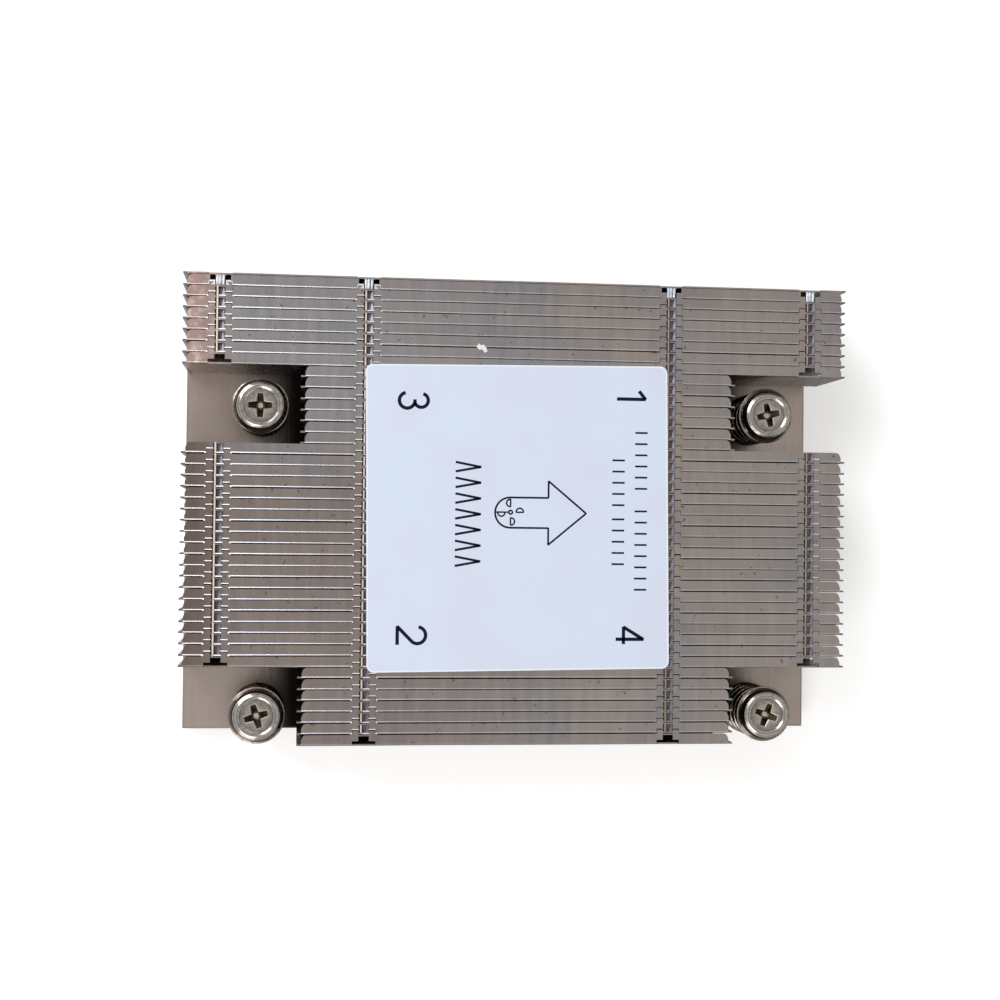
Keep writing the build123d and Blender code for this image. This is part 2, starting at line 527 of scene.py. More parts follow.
@dataclass(frozen=True)
class PlainCoat:
    """A coat that is not metal, such as printing ink or a paint chip, with a slight mottle."""

    name: str
    colour: str
    mottle: str
    roughness: float
    grain: float
    sheen: float = 0.5

    def material(self) -> bpy.types.Material:
        """Make the material.

        Returns:
            The material, with a mottle whose spots are one grain wide.
        """
        material, tree, shader = new_material(self.name)
        place = add_node(tree, "ShaderNodeTexCoord").outputs["Object"]
        inputs = {"Vector": place, "Scale": 1 / (self.grain * MM), "Detail": 2.0}
        spots = add_node(tree, "ShaderNodeTexNoise", inputs).outputs["Fac"]
        tree.links.new(covered(tree, self.colour, self.mottle, spots), shader.inputs["Base Color"])
        shader.inputs["Roughness"].default_value = self.roughness
        shader.inputs["Specular IOR Level"].default_value = self.sheen
        return material


# Strip, nickel plated and rolled: warm grey, with marks across the fin and a painted highlight along each fold
FIN_NICKEL = FinSheet(
    "rolled_nickel_sheet", "#877E77", "#7D7879", "#968D86", 0.28, grain=1.4, grain_run=9.0, marks=0.35, patch=16.0
)
# Tongues, sheared and curled: their edge is a cream line, a painted highlight
LOCK_CREAM = LockSheet(
    "sheared_edge_highlight", "#D9C9BF", "#CDBDB2", "#EDE4DD", 0.3, grain=0.3, grain_run=2.0, marks=0.3, patch=6.0
)
# Slot rims: nearly white, a painted highlight
LOCK_WHITE = LockSheet(
    "rim_highlight_nickel", "#EFE9E7", "#E3DCDA", "#FFFFFF", 0.22, grain=0.3, grain_run=2.0, marks=0.3, patch=6.0
)
# Tongues' slopes: a dark blue-grey mirror
LOCK_BLUE = PlatedSheet(
    "blue_grey_nickel", "#686B75", "#585B64", "#8F93A0", 0.3, grain=0.3, grain_run=2.0, marks=0.3, patch=6.0
)
# Tongues curled tight against the back fin: silver with a painted highlight, broken up by short dark marks
CURL_SILVER = PlatedSheet(
    "bright_curled_nickel", "#C9CED6", "#9EA3AC", "#F2F6FA", 0.2, grain=0.3, grain_run=1.0, marks=0.5, patch=1.5
)
# Floors of the slots: a dull dark brown sheet, painted shade of the deep slots
LOCK_SHADE = PlatedSheet(
    "slot_shade_nickel", "#5E5150", "#4A3F3D", "#75686A", 0.4, grain=0.3, grain_run=2.0, marks=0.3, patch=3.0
)
# Plate, milled and nickel plated: warm grey with faint long marks, and painted shade towards the fins
PLATE_NICKEL = NotchPlate(
    "plated_machined_plate", "#968A82", "#8C8078", "#A0948B", 0.3, grain=0.3, grain_run=14.0, marks=0.12, patch=18.0
)
# Screw, turned and nickel plated: the brightest mirror of all, with painted shade and dark reflections as lines
# where rings meet
SCREW_PLATE = TurnedSteel("plated_screw_steel", "#9E9893", "#857D76", 0.12)
# Recess, pressed: a painted highlight at its mouth and painted shade, brown, on its walls
RECESS_SHADE = TurnedSteel("recess_shade_and_highlight", "#DDD5C8", "#BDB09B", 0.25, painted_shade="#4E4030")
# Washer, stamped and plated: a darker mirror than the screw's
WASHER_PLATE = TurnedSteel("plated_washer_steel", "#8A8178", "#6C635B", 0.14)
# Spring wire, drawn and oiled: dark grey with bright specks
SPRING_STEEL = TurnedSteel("oiled_spring_steel", "#8B837B", "#4A433D", 0.16)
# Screen-printed ink: blue-black and dull
INK = PlainCoat("screen_printing_ink", "#0B1020", "#10182A", 0.6, 1.0, sheen=0.1)
# Film's edge, cut by a die: a thin line whiter than its face, a painted highlight
FILM_EDGE_HIGHLIGHT = PlainCoat("film_edge_highlight", "#EEF4FE", "#E6EEFB", 0.4, 2.0)
# Paint, chipped off something else: chalk white
CHIP = PlainCoat("white_paint_chip", "#F2F1EC", "#E3E0D8", 0.7, 0.3)
# Backdrop, painted matt: white, and it takes the shadow softly
FLOOR_PAINT = PlainCoat("matt_white_backdrop", "#F6F6F6", "#F4F4F4", 0.9, 60.0)


def group_tree(name: str, sockets: dict[str, str]) -> tuple[bpy.types.NodeTree, bpy.types.Node, dict[str, str]]:
    """Start a geometry tree with named inputs.

    Args:
        name: The tree's name.
        sockets: Each input's name and its socket's type.

    Returns:
        The tree, its input node, and each input's identifier by name.
    """
    tree = bpy.data.node_groups.new(name, "GeometryNodeTree")
    tree.interface.new_socket("Geometry", in_out="OUTPUT", socket_type="NodeSocketGeometry")
    tree.interface.new_socket("Geometry", in_out="INPUT", socket_type="NodeSocketGeometry")
    made = {
        label: tree.interface.new_socket(label, in_out="INPUT", socket_type=f"NodeSocket{kind}").identifier
        for label, kind in sockets.items()
    }
    return tree, tree.nodes.new("NodeGroupInput"), made


def end_tree(tree: bpy.types.NodeTree, geometry: bpy.types.NodeSocket, material: bpy.types.NodeSocket) -> None:
    """End a geometry tree in real geometry with its material set.

    Args:
        tree: The geometry tree.
        geometry: What the tree has made.
        material: The material's input.
    """
    real = add_node(tree, "GeometryNodeRealizeInstances", {"Geometry": geometry}).outputs["Geometry"]
    dressed = add_node(tree, "GeometryNodeSetMaterial", {"Geometry": real, "Material": material})
    add_node(tree, "NodeGroupOutput", {0: dressed.outputs["Geometry"]})


def run_tree(
    tree: bpy.types.NodeTree,
    identifiers: dict[str, str],
    values: dict[str, object],
    name: str,
    points: list[tuple[float, float, float]] | None = None,
    smooth_angle: float = 30.0,
) -> bpy.types.Object:
    """Run a geometry tree once and keep its result as a plain object.

    Args:
        tree: The geometry tree.
        identifiers: Each input's identifier by name.
        values: Each input's value by name.
        name: The new object's name.
        points: Places in millimetres that the tree works on.
        smooth_angle: Edges that bend more than this many degrees stay sharp.

    Returns:
        The plain object.
    """
    base = bpy.data.meshes.new(f"{name}_host")
    base.from_pydata([Vector(point) * MM for point in points or ()], [], [])
    host = bpy.data.objects.new(f"{name}_host", base)
    bpy.context.scene.collection.objects.link(host)
    modifier = host.modifiers.new("tree", "NODES")
    modifier.node_group = tree
    for label, value in values.items():
        modifier[identifiers[label]] = value
    return applied(host, name, smooth_angle)


def points_tree() -> tuple[bpy.types.NodeTree, dict[str, str]]:
    """Build the tree that sets one piece on every given point, each a little different in tilt, place and tone.

    Returns:
        The tree, and each input's identifier by name.
    """
    sockets = {"Piece": "Object", "Tilt": "Float", "Wander": "Float", "Seed": "Int", "Material": "Material"}
    tree, given, identifiers = group_tree("repeat_on_points", sockets)
    tilt, seed = given.outputs["Tilt"], given.outputs["Seed"]
    piece = add_node(tree, "GeometryNodeObjectInfo", {"Object": given.outputs["Piece"]}).outputs["Geometry"]
    least = add_node(tree, "ShaderNodeMath", {0: tilt, 1: -1.0}, operation="MULTIPLY").outputs[0]
    low = add_node(tree, "ShaderNodeCombineXYZ", {"X": least}).outputs[0]
    high = add_node(tree, "ShaderNodeCombineXYZ", {"X": tilt}).outputs[0]
    inputs = {0: low, 1: high, "Seed": seed}
    turn = add_node(tree, "FunctionNodeRandomValue", inputs, data_type="FLOAT_VECTOR").outputs[0]
    inputs = {"Points": given.outputs["Geometry"], "Instance": piece, "Rotation": turn}
    copies = add_node(tree, "GeometryNodeInstanceOnPoints", inputs).outputs["Instances"]
    tone = add_node(tree, "FunctionNodeRandomValue", {"Seed": seed}, data_type="FLOAT").outputs[1]
    inputs = {"Geometry": copies, "Name": "fin_tone", "Value": tone}
    toned = add_node(tree, "GeometryNodeStoreNamedAttribute", inputs, data_type="FLOAT", domain="INSTANCE")
    inputs = {"Geometry": toned.outputs["Geometry"]}
    real = add_node(tree, "GeometryNodeRealizeInstances", inputs).outputs["Geometry"]
    # A slow noise, 30 mm long and 3 mm wide, moves the fins' tops a little to the front or the back
    place = add_node(tree, "GeometryNodeInputPosition").outputs[0]
    waves = (1 / (30 * MM), 1 / (3 * MM), 0.0)
    stretched = add_node(tree, "ShaderNodeVectorMath", {0: place, 1: waves}, operation="MULTIPLY").outputs[0]
    inputs = {"Vector": stretched, "Scale": 1.0, "Detail": 1.0}
    noise = add_node(tree, "ShaderNodeTexNoise", inputs).outputs["Fac"]
    centred = add_node(tree, "ShaderNodeMath", {0: noise, 1: 0.5}, operation="SUBTRACT").outputs[0]
    inputs = {0: centred, 1: given.outputs["Wander"]}
    sway = add_node(tree, "ShaderNodeMath", inputs, operation="MULTIPLY").outputs[0]
    shift = add_node(tree, "ShaderNodeCombineXYZ", {"Y": sway}).outputs[0]
    moved = add_node(tree, "GeometryNodeSetPosition", {"Geometry": real, "Offset": shift}).outputs["Geometry"]
    end_tree(tree, moved, given.outputs["Material"])
    return tree, identifiers


def coil_tree() -> tuple[bpy.types.NodeTree, dict[str, str]]:
    """Build the tree that winds a round wire into a coil whose end turns may lie closer than the rest.

    Returns:
        The tree, and each input's identifier by name.
    """
    lengths = ("Radius", "Wire", "Turns", "Rise", "End Share", "End Rise")
    sockets = {"Place": "Vector", **dict.fromkeys(lengths, "Float"), "Steps": "Int", "Material": "Material"}
    tree, given, identifiers = group_tree("wind_a_coil", sockets)
    radius, end_share, end_rise = (given.outputs[name] for name in ("Radius", "End Share", "End Rise"))
    inputs = {"Resolution": given.outputs["Steps"], "Rotations": given.outputs["Turns"], "Height": 0.0}
    inputs |= {"Start Radius": radius, "End Radius": radius}
    circle = add_node(tree, "GeometryNodeCurveSpiral", inputs).outputs["Curve"]
    share = add_node(tree, "GeometryNodeSplineParameter").outputs["Factor"]
    last = add_node(tree, "ShaderNodeMath", {0: 1.0, 1: end_share}, operation="SUBTRACT").outputs[0]
    doubled = add_node(tree, "ShaderNodeMath", {0: end_rise, 1: 2.0}, operation="MULTIPLY").outputs[0]
    inputs = {0: given.outputs["Rise"], 1: doubled}
    between = add_node(tree, "ShaderNodeMath", inputs, operation="SUBTRACT").outputs[0]
    height: bpy.types.NodeSocket | float = 0.0
    for start, stop, rise in ((0.0, end_share, end_rise), (end_share, last, between), (last, 1.0, end_rise)):
        inputs = {"Value": share, "From Min": start, "From Max": stop, "To Min": 0.0, "To Max": rise}
        part = add_node(tree, "ShaderNodeMapRange", inputs).outputs["Result"]
        height = add_node(tree, "ShaderNodeMath", {0: height, 1: part}, operation="ADD").outputs[0]
    lift = add_node(tree, "ShaderNodeCombineXYZ", {"Z": height}).outputs[0]
    inputs = {0: lift, 1: given.outputs["Place"]}
    offset = add_node(tree, "ShaderNodeVectorMath", inputs, operation="ADD").outputs[0]
    moved = add_node(tree, "GeometryNodeSetPosition", {"Geometry": circle, "Offset": offset}).outputs["Geometry"]
    inputs = {"Resolution": 10, "Radius": given.outputs["Wire"]}
    section = add_node(tree, "GeometryNodeCurvePrimitiveCircle", inputs).outputs["Curve"]
    inputs = {"Curve": moved, "Profile Curve": section, "Fill Caps": True}
    wire = add_node(tree, "GeometryNodeCurveToMesh", inputs).outputs["Mesh"]
    end_tree(tree, wire, given.outputs["Material"])
    return tree, identifiers


@dataclass
class FoldedFin:
    """One fin: a stamped blank, cut for its interlocks and folded into a channel.

    Its blank is a grid with rows across the folded section and stations along the fin. The rows are counted
    from the foot's edge, the web starts at WEB_ROW and the upper fold at FOLD_ROW.
    """

    WEB_ROW: ClassVar[int] = 3
    FOLD_ROW: ClassVar[int] = 6
    FOLD_STEPS: ClassVar[int] = 5

    length: float
    reach: float
    height: float
    overhang: float
    columns: tuple[float, ...]
    open_columns: tuple[float, ...] = ()
    tab_columns: tuple[float, ...] = ()
    flanged: bool = True
    sheet: float = 0.3
    edge_notched: bool = False
    bend: float = 0.38
    corner: float = 1.0
    slot_half: float = 2.1
    slot_depth: float = 0.85
    slot_drop: float = 0.75
    stem_half: float = 0.94
    stem_depth: float = 1.74
    notch_half: float = 1.85
    tab_half: float = 2.02
    tab_reach: float = 0.73
    lip: float = 0.04
    highlight_half: float = 100.0
    corner_steps: tuple[float, ...] = (0.3, 0.6, 0.85, 1.0)
    longest: float = 7.0
    merge: float = 0.004

    def path(self) -> list[tuple[float, float]]:
        """Give the outside of the folded section.

        Returns:
            The rows' places as Y and Z, from the foot's edge to the top flange's edge.
        """
        points = [(self.reach, 0.0)]
        points += [
            (self.bend * (1 - math.sin(angle)), self.bend * (1 - math.cos(angle)))
            for angle in (0.0, math.pi / 4, math.pi / 2)
        ]
        # Two rows on the web let it sway with the rest
        points += [(0.0, self.height * share) for share in (0.4, 0.75)]
        if not self.flanged:
            return points + [(0.0, self.height - self.slot_drop), (0.0, self.height)]
        angles = [math.pi / 2 * step / self.FOLD_STEPS for step in range(self.FOLD_STEPS + 1)]
        points += [
            (self.bend * (1 - math.cos(angle)), self.height - self.bend * (1 - math.sin(angle)))
            for angle in angles
        ]
        points += [(self.slot_depth, self.height), (self.stem_depth, self.height), (self.reach, self.height)]
        return points

    def stations(self) -> list[float]:
        """Give the places along the fin where its blank has a line of vertices.

        Returns:
            The X places in order: the ends, the round corners, the interlocks' edges and some between them.
        """
        half = self.length / 2
        marks = {-half - self.overhang, -half, half, half + self.overhang}
        for share in self.corner_steps:
            marks |= {half - self.corner * share, -half + self.corner * share}
        for column in self.columns:
            for reach in (self.slot_half, self.tab_half, self.notch_half, self.stem_half):
                marks |= {column - reach, column + reach}
        ordered = sorted(marks)
        full = list(ordered)
        for left, right in zip(ordered, ordered[1:]):
            pieces = int((right - left) // self.longest)
            full += [left + (right - left) * step / (pieces + 1) for step in range(1, pieces + 1)]
        return sorted(full)

    def build(self, name: str) -> bpy.types.Object:
        """Cut and fold the blank, and give it its thickness.

        Args:
            name: The object's name.

        Returns:
            The fin, with its web's outer face on Y = 0 and its foot on Z = 0.
        """
        half = self.length / 2
        path = self.path()
        fold_end = self.FOLD_ROW + (self.FOLD_STEPS if self.flanged else 1)
        slot_row, stem_row, edge_row = fold_end + 1, fold_end + 2, fold_end + 3
        stations = self.stations()
        shape = bmesh.new()
        fold = shape.verts.layers.float.new("fold")
        grid: dict[tuple[int, int], bmesh.types.BMVert] = {}

        def vertex(place: int, row: int) -> bmesh.types.BMVert:
            """Give the vertex of one station and row, made when it is first needed.

            Args:
                place: The station's number.
                row: The row's number. One past the edge is the tab's end.

            Returns:
                The vertex, with its share of the painted fold highlight.
            """
            if (place, row) not in grid:
                x = stations[place]
                if row > edge_row:
                    y, z = self.reach + self.tab_reach, self.height + self.lip
                else:
                    y, z = path[row]
                past = abs(x) - (half - self.corner)
                if self.flanged and row >= fold_end and past > 0:
                    round_off = self.corner - math.sqrt(max(self.corner**2 - min(past, self.corner) ** 2, 0.0))
                    y = min(y, self.reach - round_off)
                grid[place, row] = shape.verts.new((x, y, z))
                # The fold's rows carry the painted highlight, as far as a little past the next fin's ends
                highlighted = self.flanged and self.FOLD_ROW < row < fold_end and abs(x) < self.highlight_half
                grid[place, row][fold] = float(highlighted)
            return grid[place, row]

        def kept(middle: float, row: int) -> bool:
            """Say whether the blank has metal between a row and the next.

            Args:
                middle: The place along the fin.
                row: The first of the two rows.

            Returns:
                Whether there is metal.
            """
            if abs(middle) > half:
                return self.WEB_ROW <= row < (self.FOLD_ROW if self.flanged else fold_end)
            for column in self.columns:
                away = abs(middle - column)
                if away < self.slot_half and self.FOLD_ROW <= row < (slot_row if self.flanged else fold_end):
                    return False
                if away < self.stem_half and row == slot_row:
                    return False
                if self.edge_notched and self.stem_half < away < self.notch_half and row in (slot_row, stem_row):
                    return False
            return True

        rows = len(path) - 1
        for place in range(len(stations) - 1):
            middle = (stations[place] + stations[place + 1]) / 2
            spans = [row for row in range(rows) if kept(middle, row)]
            # The tab has two halves, one at each side of its stem
            if self.flanged and any(self.stem_half < abs(middle - x) < self.tab_half for x in self.tab_columns):
                spans.append(edge_row)
            for row in spans:
                corners = ((place, row), (place + 1, row), (place + 1, row + 1), (place, row + 1))
                shape.faces.new([vertex(*corner) for corner in corners])
        bmesh.ops.remove_doubles(shape, verts=shape.verts, dist=self.merge)
        bmesh.ops.dissolve_degenerate(shape, edges=shape.edges, dist=self.merge / 2)
        blank = fill_mesh(f"{name}_blank", shape)
        wall = blank.modifiers.new("sheet", "SOLIDIFY")
        wall.thickness = self.sheet * MM
        wall.offset = -1.0
        wall.use_even_offset = True
        return applied(blank, name)


def tube(shape: bmesh.types.BMesh, rings: list[list[bmesh.types.BMVert]], looped: bool = False) -> None:
    """Join rings of corners one after another.

    Args:
        shape: The mesh that takes the faces.
        rings: The rings, each with its corners in the same turn.
        looped: Whether the last ring joins the first, in place of a face over each end.
    """
    for first, second in zip(rings, rings[1:] + (rings[:1] if looped else [])):
        for step in range(len(first)):
            after = (step + 1) % len(first)
            shape.faces.new((first[step], first[after], second[after], second[step]))
    if not looped:
        shape.faces.new(list(reversed(rings[0])))
        shape.faces.new(rings[-1])


def slab(shape: bmesh.types.BMesh, upper: list[tuple], lower: list[tuple]) -> None:
    """Add a closed slab between two outlines, given anticlockwise as seen from above."""
    tube(shape, [[shape.verts.new(corner) for corner in outline] for outline in (lower, upper)])


def bead(shape: bmesh.types.BMesh, start: tuple, end: tuple, radius: float, sides: int = 10) -> None:
    """Add a round bead from one level point to another, closed at both ends.

    Args:
        shape: The mesh that takes it.
        start: The middle of one end.
        end: The middle of the other end.
        radius: The bead's radius.
        sides: How many flats go round it.
    """
    start, end = Vector(start), Vector(end)
    up = Vector((0, 0, 1))
    across = (end - start).cross(up).normalized()
    turns = [2 * math.pi * step / sides for step in range(sides)]
    spokes = [(across * math.cos(turn) + up * math.sin(turn)) * radius for turn in turns]
    tube(shape, [[shape.verts.new(point + spoke) for spoke in spokes] for point in (start, end)])


class LockFinish(Enum):
    """The finishes seen in the interlocks."""

    CREAM = LOCK_CREAM
    WHITE = LOCK_WHITE
    BLUE = LOCK_BLUE
    SILVER = CURL_SILVER
    SHADE = LOCK_SHADE


Shaper = Callable[[bmesh.types.BMesh], None]


@dataclass
class Interlock:
    """The curled tongue that locks one fin into the next, drawn about its fold.

    The fold's outer line is on Y = 0 and the flange's top on Z = 0.
    """

    pitch: float = 2.0
    strip_x: float = -0.49
    strip_radius: float = 0.21
    strip_gap: float = 0.24
    bar_left: float = -0.26
    bar_right: float = 0.98
    bar_y: float = 0.2
    bar_radius: float = 0.14
    rim_y: float = 0.93
    rim_radius: float = 0.12
    rim_span: Point = (0.86, 2.12)
    dot_y: float = 0.16
    dot_radius: float = 0.17
    dot_span: Point = (2.12, 2.4)
    wedge_left: Point = (0.56, 0.26)
    wedge_right: float = 0.86
    wedge_ends: Point = (1.72, 0.3)
    wedge_drops: Point = (0.22, 0.04)
    floor_drops: Point = (0.85, 0.595)
    floor_margin: float = 0.1
    sheet: float = 0.1

    def kinds(self) -> dict[str, tuple[Shaper, LockFinish]]:
        """Give each kind of piece with what shapes it and its finish."""
        # The cream and white pieces carry painted highlights, and the floors painted shade
        return {
            "lock_strips": (self.add_strip, LockFinish.CREAM),
            "lock_rims": (self.add_rims, LockFinish.WHITE),
            "lock_wedges": (self.add_wedge, LockFinish.BLUE),
            "lock_floors": (self.add_floor, LockFinish.SHADE),
        }

    def add_strip(self, shape: bmesh.types.BMesh) -> None:
        """Add the tongue's sheared edge, a cream painted highlight that runs from one fold towards the next."""
        x, drop = self.strip_x, -self.strip_radius * 0.75
        bead(shape, (x, self.strip_gap, drop), (x, self.pitch - self.strip_gap, drop), self.strip_radius)

    def add_rims(self, shape: bmesh.types.BMesh) -> None:
        """Add the bar across the tongue, the slot's rims beside it and the dots where the fold is cut, all with a
        painted highlight.
        """
        drop = -self.bar_radius * 0.6
        bead(shape, (self.bar_left, self.bar_y, drop), (self.bar_right, self.bar_y, drop), self.bar_radius)
        rim = (self.rim_span, self.rim_y, -self.rim_radius * 0.5, self.rim_radius)
        dot = (self.dot_span, self.dot_y, -self.dot_radius * 0.7, self.dot_radius)
        for side in (-1, 1):
            for (inner, outer), y, drop, radius in (rim, dot):
                bead(shape, (side * inner, y, drop), (side * outer, y, drop), radius, sides=8)

    def add_sheet(self, shape: bmesh.types.BMesh, corners: list[tuple[float, float, float]]) -> None:
        """Add a four-cornered piece of sheet, given by its upper corners."""
        slab(shape, corners, [(x, y, z - self.sheet) for x, y, z in corners])

    def add_wedge(self, shape: bmesh.types.BMesh) -> None:
        """Add the tongue's slope, which rises to the right."""
        back, front = self.wedge_ends
        low, high = (-drop for drop in self.wedge_drops)
        (left_back, left_front), right = self.wedge_left, self.wedge_right
        left_side = [(left_back, back, low), (left_front, front, low)]
        self.add_sheet(shape, [*left_side, (right, front, high), (right, back, high)])

    def add_floor(self, shape: bmesh.types.BMesh) -> None:
        """Add the dark sheet below the tongue, painted shade of the deep slot, which rises a little to the right.
        """
        half, front, back = self.bar_right, self.floor_margin, self.pitch - self.floor_margin
        low, high = (-drop for drop in self.floor_drops)
        self.add_sheet(shape, [(-half, back, low), (-half, front, low), (half, front, high), (half, back, high)])


@dataclass
class EdgeCurl:
    """The last tongue of each row, which curls up against the back fin."""

    curl_xs: tuple[float, ...] = (-0.6, -0.1, 0.5)
    curl_lean: float = 0.05
    curl_radius: float = 0.3
    curl_ends: Point = (0.1, 1.85)
    shoulder_span: Point = (0.95, 2.2)
    shoulder_ends: Point = (0.95, 0.1)
    shoulder_lift: Point = (0.05, -0.02)
    sheet: float = 0.12

    def kinds(self) -> dict[str, tuple[Shaper, LockFinish]]:
        """Give each kind of piece with what shapes it and its finish."""
        # The silver curls and white shoulders carry painted highlights
        return {
            "edge_curls": (self.add_curls, LockFinish.SILVER),
            "edge_shoulders": (self.add_shoulders, LockFinish.WHITE),
        }

    def add_curls(self, shape: bmesh.types.BMesh) -> None:
        """Add the curls side by side."""
        (front, back), drop = self.curl_ends, -self.curl_radius * 0.85
        for x in self.curl_xs:
            bead(shape, (x, front, drop), (x + self.curl_lean, back, drop), self.curl_radius)

    def add_shoulders(self, shape: bmesh.types.BMesh) -> None:
        """Add the shoulders at both sides, which slope away from the curls and carry a painted highlight."""
        (inner, outer), (back, front), (high, low) = self.shoulder_span, self.shoulder_ends, self.shoulder_lift
        for side in (-1, 1):
            near, far = side * inner, side * outer
            upper = [(far, back, low), (far, front, low), (near, front, high), (near, back, high)]
            slab(shape, upper, [(x, y, z - self.sheet) for x, y, z in upper])


@dataclass
class FinStack:
    """The whole stack of fins, in the groups that the corner notches make."""

    groups: dict[str, tuple[int, int]] = field(
        default_factory=lambda: {
            "back_lock": (1, 1),
            "back_ends": (2, 8),
            "back_neck": (9, 15),
            "middle": (16, 35),
            "front_neck": (36, 42),
        }
    )
    last: int = 42
    full_length: float = 120.0
    web_overhang: float = 0.8
    outer_column: float = 54.1
    inner_column: float = 27.75
    reach: float = 1.95
    column_shift: float = -0.13
    highlight_past: float = 0.1
    tilt: float = 0.0025
    wander: float = 0.16
    lock_seed: int = 40
    outer_strip_gap: float = -0.02
    lock_smooth: float = 60.0

    def columns(self, number: int) -> tuple[float, ...]:
        """Give the places of a fin's interlocks.

        Args:
            number: The fin's number, counted from the back.

        Returns:
            The X places in order, none where there is no such fin.
        """
        if not 0 <= number <= self.last:
            return ()
        full = self.length(number) > self.full_length - 1
        sides = (self.inner_column, self.outer_column) if full else (self.inner_column,)
        return tuple(sorted(side * x + self.column_shift for x in sides for side in (-1, 1)))

    def length(self, number: int) -> float:
        """Give the length of a fin's flanges, from its CAD node."""
        low, high = node_box(f"fin_{number:02d}")
        return high.x - low.x - 2 * self.web_overhang

    def fin(self, number: int) -> FoldedFin:
        """Describe the fin with this number.

        Args:
            number: The fin's number, counted from the back.

        Returns:
            The fin, with what its neighbours ask of it.
        """
        low, high = node_box(f"fin_{number:02d}")
        own = self.columns(number)
        following = self.length(number + 1) / 2 if number < self.last else 0.0
        return FoldedFin(
            length=self.length(number),
            reach=self.reach,
            height=high.z - low.z,
            overhang=self.web_overhang,
            columns=own,
            open_columns=tuple(x for x in own if x not in self.columns(number + 1)),
            tab_columns=tuple(x for x in own if number > 1 and x in self.columns(number - 1)),
            flanged=number > 0,
            edge_notched=number == 1,
            highlight_half=following + self.highlight_past,
        )

    def runs(self) -> list[tuple[str, int, int]]:
        """Divide the stack into runs of like fins.

        Returns:
            Each run's name and its first and last fin, from the back. A group's odd first or last fin is a
            run of its own.
        """
        runs = [("back_edge", 0, 0)]
        for name, (first, last) in self.groups.items():
            opens = last > first and self.fin(first).tab_columns != self.fin(first + 1).tab_columns
            closes = last > first and self.fin(last).open_columns != self.fin(last - 1).open_columns
            if opens:
                runs.append((f"{name}_first", first, first))
            runs.append((name, first + opens, last - closes))
            if closes:
                runs.append((f"{name}_last", last, last))
        return runs

    def lock_places(self) -> tuple[list[tuple], list[tuple], list[tuple]]:
        """Find where one fin's tongue lies in the next fin's slot.

        Returns:
            The places of the outer left column, of the other columns, and of the fin next to the back one.
        """
        outer, others, edge = [], [], []
        midway = -(self.inner_column + self.outer_column) / 2
        for number in range(1, self.last + 1):
            low, high = node_box(f"fin_{number:02d}")
            places = [(x, low.y, high.z) for x in self.columns(number) if x in self.columns(number + 1)]
            if number == 1:
                edge += places
            else:
                outer += [place for place in places if place[0] < midway]
                others += [place for place in places if place[0] >= midway]
        return outer, others, edge

    def build(self, material: bpy.types.Material) -> None:
        """Make every run of fins from its first fin, and then the interlocks.

        Args:
            material: The fins' own finish.
        """
        tree, identifiers = points_tree()
        finishes = {finish: finish.value.material() for finish in LockFinish}
        values = {"Tilt": self.tilt, "Wander": self.wander * MM, "Material": material}
        for seed, (name, first, last) in enumerate(self.runs()):
            values |= {"Piece": self.fin(first).build(f"{name}_source"), "Seed": seed}
            nodes = [f"fin_{number:02d}" for number in range(first, last + 1)]
            feet = [(0.0, node_box(node)[0].y, node_box(node)[0].z) for node in nodes]
            stack = run_tree(tree, identifiers, values, f"fins_{name}", feet)
            bpy.data.objects.remove(values["Piece"])
            dress(stack, material, "fin_nickel", Body.STACK.named(), *nodes)
        # The tongues of the outer left column run into each other, and the others leave gaps
        outer, others, edge = self.lock_places()
        outer_lock = Interlock(strip_gap=self.outer_strip_gap)
        sets = (("", Interlock(), others), ("outer_", outer_lock, outer), ("", EdgeCurl(), edge))
        for prefix, lock, places in sets:
            for kind, (add_shape, finish) in lock.kinds().items():
                shape = bmesh.new()
                add_shape(shape)
                source, coat = fill_outward(f"{kind}_source", shape, self.lock_smooth), finishes[finish]
                values |= {"Piece": source, "Tilt": 0.0, "Seed": self.lock_seed, "Material": coat}
                row = run_tree(tree, identifiers, values, f"{prefix}{kind}", places, self.lock_smooth)
                bpy.data.objects.remove(source)
                dress(row, coat, "fin_nickel", Body.STACK.named())


def turned(name: str, profile: list[tuple[float, ...]], centre: Point, sides: int = 72) -> bpy.types.Object:
    """Turn a profile about an upright axis.

    Args:
        name: The object's name.
        profile: Radius and height of each corner, anticlockwise as seen with the radius to the right, and a
        share of painted shade where there is any. It closes on itself where it doesn't start on the axis.
        centre: Where the axis stands.
        sides: How many steps go round.

    Returns:
        The turned object.
    """
    shape = bmesh.new()
    painted_share = shape.verts.layers.float.new("painted_shade")
    turns = [2 * math.pi * step / sides for step in range(sides)]
    rings = []
    for radius, height, *painted_shade in profile:
        ring = [
            shape.verts.new((centre[0] + radius * math.cos(turn), centre[1] + radius * math.sin(turn), height))
            for turn in (turns if radius > 0 else turns[:1])
        ]
        for vert in ring:
            vert[painted_share] = sum(painted_shade)
        rings.append(ring)
    closed = profile[0][0] > 0
    for lower, upper in zip(rings, rings[1:] + (rings[:1] if closed else [])):
        for step in range(sides):
            after = (step + 1) % sides
            places = ((lower, step), (lower, after), (upper, after), (upper, step))
            # A ring on the axis has one corner only, so a face beside it has three
            corners = list(dict.fromkeys(ring[place % len(ring)] for ring, place in places))
            if len(corners) > 2:
                shape.faces.new(corners)
    return fill_mesh(name, shape)


def arc(centre: Point, radius: float, start: float, stop: float, steps: int) -> Stroke:
    """Give points on an arc, with its angles in degrees."""
    angles = [math.radians(start + (stop - start) * step / steps) for step in range(steps + 1)]
    return [(centre[0] + radius * math.cos(angle), centre[1] + radius * math.sin(angle)) for angle in angles]


